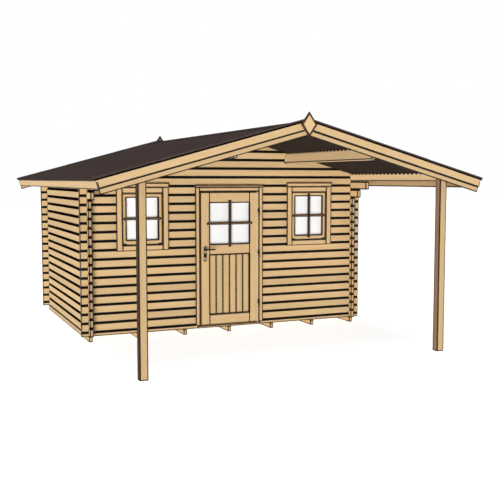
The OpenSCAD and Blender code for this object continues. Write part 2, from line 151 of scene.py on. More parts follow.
# Softwood: repeats in a metre along the grain and across it, knots, and differences between logs
STREAKS = (0.9, 24.0, 24.0)
RINGS = (0.8, 6.0, 6.0)
RING_TURNS = 70.0
FIBRES = (9.0, 420.0, 420.0)
END_GRAIN = (60.0, 60.0, 160.0)
KNOT_CELLS = 2.6
KNOT_R = 0.018
KNOT_SOFT = 0.014
KNOT_DEPTH = 0.55
ROW_SHIFT = (7.0, 3.0, 3.0)
ROW_TONES = (0.93, 1.05)
TURN_SHIFT = 3.0

# A face counts as square to an axis between these parts of its normal
FACE_FROM = 0.7
FACE_FULL = 0.8

# Relief of the finishes
RELIEF_STRENGTH = 0.6
WOOD_RELIEF = 0.0006
FELT_RELIEF = 0.0008
FINE_RELIEF = 0.0002


# Material helpers
class Graph:
    """Short calls that build one material's nodes."""

    def __init__(self, name):
        self.material = bpy.data.materials.new(name)
        self.material.use_nodes = True
        self.tree = self.material.node_tree
        self.tree.nodes.clear()
        self.position = self.node("ShaderNodeTexCoord").outputs["Object"]
        self.axes = self.node("ShaderNodeSeparateXYZ", self.position).outputs

    def node(self, kind, *inputs, **settings):
        made = self.tree.nodes.new(kind)
        for key, value in settings.items():
            setattr(made, key, value)
        for socket, value in zip(made.inputs, inputs):
            self.put(socket, value)
        return made

    def put(self, socket, value):
        """Link or set one socket. None leaves it as it is."""
        if value is None:
            return
        if isinstance(value, bpy.types.NodeSocket):
            self.tree.links.new(value, socket)
        elif socket.type == "RGBA":
            socket.default_value = (*value, 1.0)
        else:
            socket.default_value = value

    def math(self, operation, a, b=None, c=None):
        return self.node("ShaderNodeMath", a, b, c, operation=operation).outputs[0]

    def vector(self, x, y, z):
        return self.node("ShaderNodeCombineXYZ", x, y, z).outputs[0]

    def scaled(self, vector, factors):
        return self.node("ShaderNodeVectorMath", vector, factors, operation="MULTIPLY").outputs[0]

    def moved(self, vector, offset):
        return self.node("ShaderNodeVectorMath", vector, offset, operation="ADD").outputs[0]

    def noise(self, vector, scale=1.0, detail=2.0, roughness=0.5, distortion=0.0):
        made = self.node("ShaderNodeTexNoise")
        for key, value in (("Vector", vector), ("Scale", scale), ("Detail", detail),
                           ("Roughness", roughness), ("Distortion", distortion)):
            self.put(made.inputs[key], value)
        return made.outputs["Fac"]

    def random(self, value):
        return self.node("ShaderNodeTexWhiteNoise", None, value, noise_dimensions="1D").outputs

    def between(self, value, low, high, out_low=0.0, out_high=1.0):
        return self.node("ShaderNodeMapRange", value, low, high, out_low, out_high).outputs[0]

    def mix(self, factor, a, b, blend="MIX"):
        made = self.node("ShaderNodeMix", data_type="RGBA", blend_type=blend)
        for index, value in ((0, factor), (6, a), (7, b)):
            self.put(made.inputs[index], value)
        return made.outputs[2]

    def blend(self, factor, a, b):
        made = self.node("ShaderNodeMix", data_type="VECTOR")
        for index, value in ((0, factor), (4, a), (5, b)):
            self.put(made.inputs[index], value)
        return made.outputs[1]

    def near(self, distance, half_width, soft=LINE_SOFT):
        """1 closer than half_width, falling to 0 over soft."""
        return self.between(distance, half_width, half_width + soft, 1.0, 0.0)

    def line_distance(self, value, first, pitch):
        """Distance to the nearest of a row of lines pitch apart."""
        turns = self.math("DIVIDE", self.math("SUBTRACT", value, first), pitch)
        return self.math("MULTIPLY", self.math("PINGPONG", turns, 0.5), pitch)

    def row_index(self, value, first, pitch):
        return self.math("FLOOR", self.math("DIVIDE", self.math("SUBTRACT", value, first), pitch))

    def edges(self, radius):
        """Dark along every sharp edge, in a line about 0.4 of the radius wide."""
        rounded = self.node("ShaderNodeBevel", radius, samples=EDGE_SAMPLES).outputs[0]
        plain = self.node("ShaderNodeNewGeometry").outputs["Normal"]
        dot = self.node("ShaderNodeVectorMath", rounded, plain, operation="DOT_PRODUCT").outputs["Value"]
        return self.math("MULTIPLY", self.between(dot, EDGE_FULL, EDGE_NONE, 1.0, 0.0), EDGE_DEPTH)

    def finish(self, colour, roughness, bump, depth, **plain):
        """The shader and its output, with the bump's depth in metres and plain values by socket name."""
        shader = self.node("ShaderNodeBsdfPrincipled")
        self.put(shader.inputs["Base Color"], colour)
        self.put(shader.inputs["Roughness"], roughness)
        for key, value in plain.items():
            self.put(shader.inputs[key.replace("_", " ")], value)
        made = self.node("ShaderNodeBump")
        self.put(made.inputs["Strength"], RELIEF_STRENGTH)
        self.put(made.inputs["Distance"], depth)
        self.put(made.inputs["Height"], bump)
        self.put(shader.inputs["Normal"], made.outputs[0])
        self.node("ShaderNodeOutputMaterial", shader.outputs[0])
        return self.material


def slope_axes(graph):
    """Distance along the rake, depth and height square to it, the same on both slopes."""
    x, y, z = graph.axes
    across = graph.math("ABSOLUTE", x)
    along = graph.math("SUBTRACT", graph.math("MULTIPLY", across, PITCH_COS),
                       graph.math("MULTIPLY", z, PITCH_SIN))
    over = graph.math("ADD", graph.math("MULTIPLY", across, PITCH_SIN),
                      graph.math("MULTIPLY", z, PITCH_COS))
    return along, y, over


def grain_vector(graph, grain):
    """The surface point with its first axis along the grain."""
    if grain == "slope":
        return graph.vector(*slope_axes(graph))
    x, y, z = graph.axes
    order = {"x": (x, y, z), "y": (y, x, z), "z": (z, x, y)}[grain]
    return graph.vector(*order)


def wood_pattern(graph, vector, light, deep):
    """Colour and relief of planed softwood along the vector's first axis."""
    streak = graph.noise(graph.scaled(vector, STREAKS), detail=3.0, distortion=0.4)
    warp = graph.noise(graph.scaled(vector, RINGS), detail=1.0)
    rings = graph.math("SINE", graph.math("MULTIPLY", warp, RING_TURNS))
    fibre = graph.noise(graph.scaled(vector, FIBRES), detail=2.0)
    tone = graph.math("ADD", graph.math("MULTIPLY", graph.between(streak, 0.3, 0.7), 0.6),
                      graph.math("MULTIPLY", graph.between(rings, -1.0, 1.0), 0.22))
    tone = graph.math("ADD", tone, graph.math("MULTIPLY", fibre, 0.2))
    colour = graph.mix(tone, deep, light)
    cells = graph.node("ShaderNodeTexVoronoi", vector, None, KNOT_CELLS)
    knot = graph.near(cells.outputs["Distance"], KNOT_R, KNOT_SOFT)
    colour = graph.mix(graph.math("MULTIPLY", knot, KNOT_DEPTH), colour, KNOT)
    return colour, graph.math("ADD", fibre, graph.math("MULTIPLY", rings, 0.15))


def rake_lines(graph, lines, rake):
    """The edge lines of the fascias, left out under the top, with lines at the foot, step and top; the one
    at the step is a joint with painted shadow under the upper board.
    """
    lowest, step, highest = rake
    height = slope_axes(graph)[2]
    lines = graph.math("MULTIPLY", lines, graph.near(height, highest - RAKE_CLEAR))
    foot = graph.near(height, lowest + RAKE_LINE)
    # The step line: a joint, and painted shadow on the lower board under the upper one
    middle = step + (STEP_LINE - RAKE_LINE) / 2
    away = graph.math("ABSOLUTE", graph.math("SUBTRACT", height, middle))
    joint_and_shadow = graph.near(away, (STEP_LINE + RAKE_LINE) / 2)
    top = graph.near(graph.math("SUBTRACT", highest, height), TOP_LINE)
    for band in (foot, joint_and_shadow, top):
        lines = graph.math("MAXIMUM", lines, band)
    return lines


def board_groove_shade(graph):
    """Painted shade of the grooved joints between the roof boards, along the top of a beam."""
    along, depth, over = slope_axes(graph)
    under = graph.math("SUBTRACT", APEX_Z * PITCH_COS, over)
    beside = graph.line_distance(depth, plank_low.y, plank_pitch)
    return graph.math("MULTIPLY", graph.near(under, TOOTH_H, TOOTH_H_SOFT),
                      graph.near(beside, TOOTH_W, TOOTH_W_SOFT))


def wood(name, grain, light=PINE, deep=PINE_DEEP, rows=None, line=ROW_LINE, drop=0.0, end=None,
         end_tone=PINE_END, edge=EDGE_LINE, side=None, joints=None, turn=None, teeth=False, rake=None,
         bare=None, gloss=0.12):
    """Softwood whose grain runs along one axis.

    rows: axis, first line and pitch of logs or boards side by side, with dark joints between them.
    line, drop: half-width of those joints, and how far their middle lies under the first line, as painted
    shadow under each row.
    end, end_tone: the axis whose faces show end grain, and its colour.
    edge: reach of the dark lines along edges.
    side: a tone of painted shade for the faces towards -X.
    joints: axis of a dark joint, and its distance from the middle.
    turn: the distance from the middle within which the grain runs across.
    teeth: whether painted shade of the roof board joints shows along the top.
    rake: foot, step and top of fascia boards, square to the slope, with a dark line at each.
    bare: where edges stop having a line, towards +X.
    gloss: level of the reflection.
    """
    graph = Graph(name)
    x, y, z = graph.axes
    vector = grain_vector(graph, grain)
    if turn:
        inside = graph.near(graph.math("ABSOLUTE", x), turn, LINE_SOFT / 2)
        vector = graph.blend(inside, vector, graph.vector(x, graph.math("ADD", z, TURN_SHIFT), y))
    geometry = graph.node("ShaderNodeNewGeometry")
    normal = graph.node("ShaderNodeSeparateXYZ", geometry.outputs["Normal"]).outputs
    if rows:
        axis, first, pitch = rows
        value = graph.axes["xyz".index(axis)]
        random = graph.random(graph.row_index(value, first, pitch))
        vector = graph.moved(vector, graph.scaled(random["Color"], ROW_SHIFT))
    colour, relief = wood_pattern(graph, vector, light, deep)
    if rows:
        tone = graph.between(random["Value"], 0.0, 1.0, *ROW_TONES)
        colour = graph.mix(1.0, colour, graph.vector(tone, tone, tone), "MULTIPLY")
    if end:
        face = graph.between(graph.math("ABSOLUTE", normal["xyz".index(end)]), FACE_FROM, FACE_FULL)
        across = graph.noise(graph.scaled(graph.position, END_GRAIN), detail=3.0, distortion=1.2)
        colour = graph.mix(face, colour, graph.mix(across, end_tone, graph.mix(0.35, end_tone, deep)))
    # Painted shade on the faces towards -X
    if side:
        face = graph.between(graph.math("MULTIPLY", normal[0], -1.0), FACE_FROM, FACE_FULL)
        streaks = graph.between(relief, 0.2, 0.8, 0.0, 0.15)
        colour = graph.mix(face, colour, graph.mix(streaks, side, PINE_SHADE))
    lines = graph.edges(edge)
    if rake:
        lines = rake_lines(graph, lines, rake)
    if bare is not None:
        lines = graph.math("MULTIPLY", lines, graph.near(x, bare))
    colour = graph.mix(lines, colour, LINE_AND_SHADE_DARK)
    # Dark joints between rows, moved down as painted shadow under each row
    if rows:
        gap_and_shade = graph.near(graph.line_distance(value, first - drop, pitch), line, ROW_SOFT)
        colour = graph.mix(gap_and_shade, colour, LINE_AND_SHADE_DARK)
    if joints:
        axis, reach = joints
        out = graph.math("ABSOLUTE", graph.axes["xyz".index(axis)])
        away = graph.math("ABSOLUTE", graph.math("SUBTRACT", out, reach))
        colour = graph.mix(graph.near(away, JOINT_LINE), colour, LINE_AND_SHADE_DARK)
    # Painted shade of the roof board joints along the top
    if teeth:
        colour = graph.mix(board_groove_shade(graph), colour, LINE_AND_SHADE_DARK)
    rough = graph.between(relief, 0.0, 1.0, 0.50, 0.68)
    return graph.finish(colour, rough, relief, WOOD_RELIEF, Specular_IOR_Level=gloss)


def felt(name):
    """Mineral roofing felt: fine grit and soft mottling, dark where its ends meet the fascias."""
    graph = Graph(name)
    along, depth, over = slope_axes(graph)
    grit = graph.noise(graph.position, 900.0, 2.0)
    flakes = graph.node("ShaderNodeTexVoronoi", graph.position, None, 420.0).outputs["Distance"]
    mottle = graph.noise(graph.vector(along, depth, over), 2.2, 4.0, 0.6)
    tone = graph.math("ADD", graph.math("MULTIPLY", graph.between(mottle, 0.3, 0.7), 0.55),
                      graph.math("MULTIPLY", grit, 0.45))
    colour = graph.mix(tone, FELT_DEEP, FELT)
    low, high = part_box("roof_covering_right")
    ends = graph.math("MINIMUM", graph.math("SUBTRACT", depth, low.y),
                      graph.math("SUBTRACT", high.y, depth))
    foot = APEX_Z * PITCH_COS + ROOF_BOARD_T
    rim = graph.math("MULTIPLY", graph.near(ends, LINE_SOFT), graph.near(over, foot + FELT_LINE))
    colour = graph.mix(rim, colour, LINE_AND_SHADE_DARK)
    rough = graph.between(flakes, 0.0, 0.7, 0.88, 0.98)
    relief = graph.math("ADD", grit, flakes)
    return graph.finish(colour, rough, relief, FELT_RELIEF, Specular_IOR_Level=0.0)


def opal(name):
    """White glazing with a soft cloud in its tone."""
    graph = Graph(name)
    cloud = graph.noise(graph.position, 1.6, 2.0)
    colour = graph.mix(graph.between(cloud, 0.3, 0.7), PANE_SHADE, PANE)
    rough = graph.between(cloud, 0.3, 0.7, 0.06, 0.12)
    ripple = graph.noise(graph.position, 9.0, 1.0)
    return graph.finish(colour, rough, ripple, FINE_RELIEF, Specular_IOR_Level=0.9)


def metal(name, colour, deep, metallic, smoothest, roughest, edge=None, gloss=0.5):
    """Worn painted or brushed metal."""
    graph = Graph(name)
    brush = graph.noise(graph.scaled(graph.position, (40.0, 40.0, 900.0)), detail=3.0)
    wear = graph.noise(graph.position, 60.0, 4.0, 0.7)
    mixed = graph.mix(graph.between(wear, 0.35, 0.7), deep, colour)
    if edge:
        mixed = graph.mix(graph.edges(edge), mixed, LINE_AND_SHADE_DARK)
    rough = graph.between(brush, 0.3, 0.7, smoothest, roughest)
    return graph.finish(mixed, rough, brush, FINE_RELIEF, Metallic=metallic, Specular_IOR_Level=gloss)


def rake_heights(name):
    """Lowest and highest points of a node, square to the slope."""
    points = [vertex.co for vertex in nodes[name].data.vertices]
    heights = [abs(p.x) * PITCH_SIN + p.z * PITCH_COS for p in points]
    return min(heights), max(heights)


# Materials
log_front = wood("front_logs", "x", rows=("z", FRONT_LINE, LOG_H), drop=ROW_SHADOW_DROP, end="x",
                 end_tone=PINE_END_DARK, edge=LOG_EDGE)
log_left = wood("left_logs", "y", PINE_PAINTED_LIGHT, PINE_PAINTED_LIGHT_DEEP, rows=("z", SIDE_LINE, LOG_H),
                line=SIDE_ROW_LINE, drop=ROW_SHADOW_DROP, end="y", edge=SIDE_LOG_EDGE, gloss=0.0)
log_right = wood("right_logs", "y", rows=("z", SIDE_LINE, LOG_H), line=SIDE_ROW_LINE, drop=ROW_SHADOW_DROP,
                 end="y", end_tone=PINE_END_PALE, edge=SIDE_LOG_EDGE)
beam_long = wood("long_beams", "y", PINE_PAINTED_LIGHT, PINE_PAINTED_LIGHT_DEEP, teeth=True)
post_left = wood("left_post_wood", "z", PINE_POST_PAINTED_SHADE, PINE_POST_PAINTED_SHADE_DEEP, end="z", side=POST_PAINTED_SHADE_DARK,
                 gloss=0.0)
post_right = wood("right_post_wood", "z", PINE_POST_PAINTED_SHADE, PINE_POST_PAINTED_SHADE_DEEP, end="z", side=POST_PAINTED_SHADE, gloss=0.0)
joist_wood = wood("joists", "y")
board_across = wood("cross_boards", "x", end="x")
board_up = wood("upright_boards", "z")
board_diamond = wood("diamond_boards", "z", edge=DIAMOND_EDGE)
board_left = wood("left_jambs", "z", side=JAMB_PAINTED_SHADE, gloss=0.0)
fascia_step, fascia_top = rake_heights("front_fascia_upper")
fascia_foot = rake_heights("front_fascia_lower")[0]
board_slope = wood("rake_boards", "slope", PINE_RAKE_PAINTED_SHADE, PINE_RAKE_PAINTED_SHADE_DEEP, edge=RAKE_EDGE,
                   rake=(fascia_foot, fascia_step, fascia_top))
leaf_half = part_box("door_leaf")[1].x
field_half = leaf_half - STILE_W
door_wood = wood("door_boards", "z", joints=("x", field_half), turn=field_half, bare=leaf_half - EDGE_LINE)
panel_wood = wood("panel_boards", "z", rows=("x", 0.0, 2 * field_half / PANEL_BOARDS), line=GROOVE_LINE)
floor_wood = wood("floor_planks", "x", edge=FLOOR_EDGE)
stain_boards = wood("stained_boards", "slope", STAIN, STAIN_DEEP, edge=PLANK_EDGE, gloss=0.0)
bar_up = wood("upright_bars", "z", BAR_DARK, BAR_DARK_DEEP, edge=BAR_EDGE)
bar_across = wood("cross_bars", "x", BAR_BROWN, BAR_BROWN_DEEP, edge=BAR_EDGE)
bead_wood = wood("pane_beads", "z", BEAD_DARK, BEAD_DARK_DEEP, edge=BEAD_EDGE)
felt_dark = felt("roof_felt")
pane_white = opal("opal_pane")
iron_black = metal("black_iron", IRON, IRON_WORN, 0.0, 0.45, 0.65, gloss=0.12)
brass_pale = metal("pale_brass", BRASS, BRASS_DEEP, 0.35, 0.32, 0.5, edge=PLATE_EDGE)

FINISHES = {
    log_front: ("front_wall_lower_left", "front_wall_lower_right", "front_wall_left_corner",
                "front_wall_left_of_door", "front_wall_right_of_door", "front_wall_right_corner",
                "front_gable", "rear_wall", "rear_gable"),
    log_left: ("left_wall",),
    log_right: ("right_wall",),
    beam_long: ("left_eave_purlin", "right_eave_purlin", "middle_purlins", "ridge_purlin"),
    joist_wood: ("floor_joists", "eave_boards"),
    post_left: ("left_post",),
    post_right: ("right_post",),
    board_across: ("door_threshold",),
    board_up: ("window_linings", "window_sashes"),
    board_diamond: ("front_diamond", "rear_diamond"),
    board_slope: ("front_fascia_lower", "front_fascia_upper", "rear_fascia_lower", "rear_fascia_upper"),
    door_wood: ("door_leaf",),
    panel_wood: ("door_panel",),
    pane_white: ("window_glass", "door_glass"),
    iron_black: ("hinge_pins", "hinge_barrels"),
    brass_pale: ("handle_plates",),
}
for material, names in FINISHES.items():
    for name in names:
        mesh = nodes[name].data
        mesh.materials.clear()
        mesh.materials.append(material)

# Boards, beams and posts get rounded arrises
ARRIS = 0.002
ARRIS_STEPS = 2
WELD = 0.00001
ROUNDED = ("left_post", "right_post", "front_fascia_lower", "front_fascia_upper", "rear_fascia_lower",
           "rear_fascia_upper", "front_diamond", "rear_diamond", "eave_boards", "window_trims",
           "door_trim", "door_frame", "window_sashes", "door_threshold", "left_eave_purlin",
           "right_eave_purlin", "middle_purlins", "ridge_purlin", "floor_joists")
for name in ROUNDED:
    joined = nodes[name].modifiers.new("weld", "WELD")
    joined.merge_threshold = WELD
    rounding = nodes[name].modifiers.new("arris", "BEVEL")
    rounding.width = ARRIS
    rounding.segments = ARRIS_STEPS
    rounding.limit_method = "ANGLE"


# Each board of the trims and the door frame has its grain along its own length
def lay_boards(mesh, middles):
    """Sort the faces of a mesh into loose boards by the corners that they share, and paint each board.

    An upright board to the left of the nearest middle of an opening is a left jamb, with painted shade on
    its faces towards -X.
    """
    mesh.materials.clear()
    for material in (board_up, board_across, board_left):
        mesh.materials.append(material)
    boards = []
    for face in mesh.polygons:
        corners = {tuple(round(c / WELD) for c in mesh.vertices[i].co) for i in face.vertices}
        faces = [face]
        for board in [b for b in boards if b[0] & corners]:
            corners |= board[0]
            faces += board[1]
            boards.remove(board)
        boards.append((corners, faces))
    for corners, faces in boards:
        wide, tall = (max(c[axis] for c in corners) - min(c[axis] for c in corners) for axis in (0, 2))
        place = (max(c[0] for c in corners) + min(c[0] for c in corners)) / 2 * WELD
        paint = 0
        if wide > tall:
            paint = 1
        elif middles and place < min(middles, key=lambda middle: abs(place - middle)):
            paint = 2
        for face in faces:
            face.material_index = paint


for name, middles in (("window_trims", (-WINDOW_X, WINDOW_X)), ("door_trim", (0.0,)), ("door_frame", ())):
    lay_boards(nodes[name].data, middles)


# Mesh helpers
class Solid:
    """Collects closed shapes for one piece. Faces take the material whose index is in paint."""

    def __init__(self):
        self.verts = []
        self.faces = []
        self.paint = 0
        self.paints = []

    def loft(self, rings):
        """Skin rings of equal length and close both ends."""
        start = len(self.verts)
        count = len(rings[0])
        for ring in rings:
            self.verts.extend(ring)
        for k in range(len(rings) - 1):
            low = start + k * count
            for i in range(count):
                j = (i + 1) % count
                self.faces.append((low + i, low + j, low + count + j, low + count + i))
        self.faces.append(tuple(range(start + count - 1, start - 1, -1)))
        last = start + (len(rings) - 1) * count
        self.faces.append(tuple(range(last, last + count)))
        self.paints += [self.paint] * (len(self.faces) - len(self.paints))

    def piece(self, name, materials, body, replaced=(), smooth=False):
        """Make the object, hang it on the body that it rides on, and hide the nodes that it stands for."""
        mesh = bpy.data.meshes.new(name)
        mesh.from_pydata(self.verts, [], self.faces)
        shape = bmesh.new()
        shape.from_mesh(mesh)
        bmesh.ops.recalc_face_normals(shape, faces=shape.faces)
        shape.to_mesh(mesh)
        shape.free()
        for material in materials:
            mesh.materials.append(material)
        for face, paint in zip(mesh.polygons, self.paints):
            face.use_smooth = smooth
            face.material_index = paint
        made = bpy.data.objects.new(name, mesh)
        scene.collection.objects.link(made)
        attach(made, body)
        if replaced:
            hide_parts(*replaced)
        return made


def slope_point(side, u, y, v):
    """A point on a slope: distance down from the ridge and height over the boards' underside."""
    x = u * PITCH_COS + v * PITCH_SIN
    return Vector((side * x, y, APEX_Z - u * PITCH_SIN + v * PITCH_COS))


def slope_u(v, x=0.0):
    """Distance down the slope of the point that lies at x and at the height v."""
    return (x - v * PITCH_SIN) / PITCH_COS


# Roof boards side by side, chamfered along their lower edges
PLANK_CHAMFER = 0.011
SEAT = 0.0002
eave_u = slope_u(ROOF_BOARD_T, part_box("roof_boards_right")[1].x)


def roof_planks(side, name, node):
    solid = Solid()
    for i in range(plank_count):
        y0 = plank_low.y + i * plank_pitch + SEAT
        y1 = y0 + plank_pitch - 2 * SEAT
        section = [(y0, ROOF_BOARD_T), (y0, SEAT + PLANK_CHAMFER), (y0 + PLANK_CHAMFER, SEAT),
                   (y1 - PLANK_CHAMFER, SEAT), (y1, SEAT + PLANK_CHAMFER), (y1, ROOF_BOARD_T)]
        solid.loft([[slope_point(side, slope_u(v, SEAT), y, v) for y, v in section],
                    [slope_point(side, eave_u, y, v) for y, v in section]])
    solid.piece(name, (stain_boards,), "shed", (node,))


roof_planks(-1, "roof_planks_left", "roof_boards_left")
roof_planks(1, "roof_planks_right", "roof_boards_right")

# Felt in lapped courses, turned up over a batten at each verge
FELT_COURSES = 3
LAP_STEP = 0.002
VERGE_W = 0.030
VERGE_H = 0.028
felt_low = ROOF_BOARD_T + SEAT
felt_top = ROOF_BOARD_T + COVERING_T
felt_end = slope_u(felt_top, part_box("roof_covering_right")[1].x)


def roof_felt(side, name, node):
    low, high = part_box(node)
    solid = Solid()
    rings = []
    for y, rise in ((low.y, VERGE_H), (low.y + VERGE_W, VERGE_H), (low.y + 2 * VERGE_W, 0),
                    (high.y - 2 * VERGE_W, 0), (high.y - VERGE_W, VERGE_H), (high.y, VERGE_H)):
        outline = [(slope_u(felt_low), felt_low), (felt_end, felt_low)]
        for k in range(FELT_COURSES, 0, -1):
            outline.append((felt_end * k / FELT_COURSES, felt_top + rise))
            top = felt_top - LAP_STEP + rise
            outline.append((felt_end * (k - 1) / FELT_COURSES if k > 1 else slope_u(top), top))
        rings.append([slope_point(side, u, y, v) for u, v in outline])
    solid.loft(rings)
    solid.piece(name, (felt_dark,), "shed", (node,))


roof_felt(-1, "roof_felt_left", "roof_covering_left")
roof_felt(1, "roof_felt_right", "roof_covering_right")

# A strip of felt over the ridge, between the verges
ridge_low, ridge_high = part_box("ridge_strip")
ridge_top = felt_top + RIDGE_STRIP_T
ridge_under = felt_top - LAP_STEP
ridge_places = ((-1, RIDGE_STRIP_W, ridge_top), (1, slope_u(ridge_top), ridge_top),
                (1, RIDGE_STRIP_W, ridge_top), (1, RIDGE_STRIP_W, ridge_under),
                (1, slope_u(ridge_under), ridge_under), (-1, RIDGE_STRIP_W, ridge_under))
ridge_solid = Solid()
ridge_solid.loft([[slope_point(side, u, y, v) for side, u, v in ridge_places]
                  for y in (ridge_low.y + VERGE_W, ridge_high.y - VERGE_W)])
ridge_solid.piece("ridge_felt", (felt_dark,), "shed", ("ridge_strip",))

# Floor boards side by side, with a fine open joint
FLOOR_PLANK_W = 0.110
FLOOR_CHAMFER = 0.002
FLOOR_JOINT = 0.001
floor_low, floor_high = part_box("floor_boards")
floor_count = round((floor_high.y - floor_low.y) / FLOOR_PLANK_W)
floor_pitch = (floor_high.y - floor_low.y) / floor_count
floor_solid = Solid()
for i in range(floor_count):
    y0 = floor_low.y + i * floor_pitch + FLOOR_JOINT / 2
    y1 = floor_low.y + (i + 1) * floor_pitch - FLOOR_JOINT / 2
    arris_z = floor_high.z - FLOOR_CHAMFER
    section = [(y0, floor_low.z), (y1, floor_low.z), (y1, arris_z), (y1 - FLOOR_CHAMFER, floor_high.z),
               (y0 + FLOOR_CHAMFER, floor_high.z), (y0, arris_z)]
    floor_solid.loft([[Vector((x, y, z)) for y, z in section] for x in (floor_low.x, floor_high.x)])
floor_solid.piece("floor_planks", (floor_wood,), "shed", ("floor_boards",))

# Glazing bars that cross in front of the panes and lap over the frame
BAR_T = 0.014
BAR_TIP = 0.016
UP_BAR_W = 0.041
CROSS_BAR_W = 0.034
WINDOW_BAR_LAP = 0.036
DOOR_BAR_LAP = 0.038
TIP_PAINT = 2
# Parts of the width and of the thickness
BAR_SECTION = ((-0.5, 0.0), (-0.5, 0.35), (-0.3, 0.85), (0.0, 1.0), (0.3, 0.85), (0.5, 0.35), (0.5, 0.0))


def glazing_bar(solid, paint, centre, along, length, width, y_back):
    """A rounded bar with a dark knob at each end, flat on the frame behind it."""
    across = Vector((along.z, 0, along.x))
    forward = Vector((0, -1, 0))
    half = length / 2

    def ring(place, size):
        middle = Vector((centre.x, y_back, centre.z)) + along * place
        return [middle + across * (a * width * size) + forward * (b * BAR_T * size)
                for a, b in BAR_SECTION]

    solid.paint = paint
    solid.loft([ring(BAR_TIP - half, 1.0), ring(half - BAR_TIP, 1.0)])
    solid.paint = TIP_PAINT
    knob = ((half - BAR_TIP, 1.05), (half - BAR_TIP / 2, 1.0), (half, 0.6))
    for end in (-1, 1):
        solid.loft([ring(end * place, size) for place, size in knob])


def cross_bars(name, low, high, lap, y_back, body):
    """An upright and a cross bar over a pane, given by its lower left and upper right corners."""
    solid = Solid()
    centre = (low + high) / 2
    glazing_bar(solid, 0, centre, Vector((0, 0, 1)), high.z - low.z + 2 * lap, UP_BAR_W, y_back)
    glazing_bar(solid, 1, centre, Vector((1, 0, 0)), high.x - low.x + 2 * lap, CROSS_BAR_W, y_back)
    solid.piece(name, (bar_up, bar_across, iron_black), body)


glass_low, glass_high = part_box("window_glass")
pane_half = glass_high.x - WINDOW_X
sash_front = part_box("window_sashes")[0].y
window_panes = []
for side, label in ((-1, "left"), (1, "right")):
    pane_low = Vector((side * WINDOW_X - pane_half, 0, glass_low.z))
    pane_high = Vector((side * WINDOW_X + pane_half, 0, glass_high.z))
    window_panes.append((label, pane_low, pane_high))
for label, pane_low, pane_high in window_panes:
    cross_bars(f"window_bars_{label}", pane_low, pane_high, WINDOW_BAR_LAP, sash_front, "shed")
door_low, door_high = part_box("door_glass")
leaf_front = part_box("door_leaf")[0].y
cross_bars("door_bars", door_low, door_high, DOOR_BAR_LAP, leaf_front, "door")

# Dark beads round the panes
BEAD_W = 0.012
BEAD_T = 0.004
BEAD_IN = 0.004
BEAD_IN_RIGHT = 0.015
# Parts of the width and of the thickness
BEAD_SECTION = ((0.0, 0.0), (0.0, 0.6), (0.3, 1.0), (0.7, 1.0), (1.0, 0.6), (1.0, 0.0))


def pane_bead(name, low, high, y_back, body):
    """A mitred frame of four strips round an opening, given by its lower left and upper right corners.

    The right strip reaches further over the pane, as the shaded side of the opening.
    """
    signs = ((-1, -1), (1, -1), (1, 1), (-1, 1))

    def corner(right, up):
        x = high.x if right > 0 else low.x
        z = high.z if up > 0 else low.z
        over = BEAD_IN_RIGHT if right > 0 else BEAD_IN
        ring = []
        for out, rise in BEAD_SECTION:
            beside = out * (BEAD_W - BEAD_IN + over) - over
            above = out * BEAD_W - BEAD_IN
            ring.append(Vector((x + right * beside, y_back - rise * BEAD_T, z + up * above)))
        return ring

    solid = Solid()
    for first, second in zip(signs, signs[1:] + signs[:1]):
        solid.loft([corner(*first), corner(*second)])
    solid.piece(name, (bead_wood,), body)


for label, pane_low, pane_high in window_panes:
    pane_bead(f"window_bead_{label}", pane_low, pane_high, sash_front, "shed")
pane_bead("door_bead", door_low, door_high, leaf_front, "door")

# Black corner irons at the foot of each sash: an angle with chamfered edges
IRON_L = 0.056
IRON_H = 0.022
IRON_UP = 0.040
IRON_W = 0.014
IRON_T = 0.004
IRON_CHAMFER = 0.0015
sash_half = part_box("window_sashes")[1].x - WINDOW_X
sash_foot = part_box("window_sashes")[0].z
irons = Solid()
for middle in (-WINDOW_X, WINDOW_X):
    for side in (-1, 1):
        rings = []
        for depth, inset in ((0.0, 0.0), (IRON_T - IRON_CHAMFER, 0.0), (IRON_T, IRON_CHAMFER)):
            outline = ((inset, inset), (IRON_L - inset, inset), (IRON_L - inset, IRON_H - inset),
                       (IRON_W - inset, IRON_H - inset), (IRON_W - inset, IRON_UP - inset),
                       (inset, IRON_UP - inset))
            rings.append([Vector((middle + side * (sash_half - a), sash_front - depth, sash_foot + b))
                          for a, b in outline])
        irons.loft(rings)
irons.piece("sash_irons", (iron_black,), "shed")

# Lever on a spindle: a neck and a rounded grip on each side
LEVER_R = 0.008
LEVER_ROUND = 0.003
LEVER_SWELL = 0.010
LEVER_WAIST = 0.030
NECK = 2.4 * LEVER_R
RING_STEPS = 16
X = Vector((1, 0, 0))
Y = Vector((0, 1, 0))
Z = Vector((0, 0, 1))
lever_low, lever_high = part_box("door_handle")
lever_axis = Vector((lever_low.x + LEVER_R, 0, lever_high.z - LEVER_R))
lever_tip = lever_high.x
lever_solid = Solid()


def round_ring(centre, first, second, radius):
    steps = [2 * math.pi * i / RING_STEPS for i in range(RING_STEPS)]
    return [centre + first * (radius * math.cos(a)) + second * (radius * math.sin(a)) for a in steps]


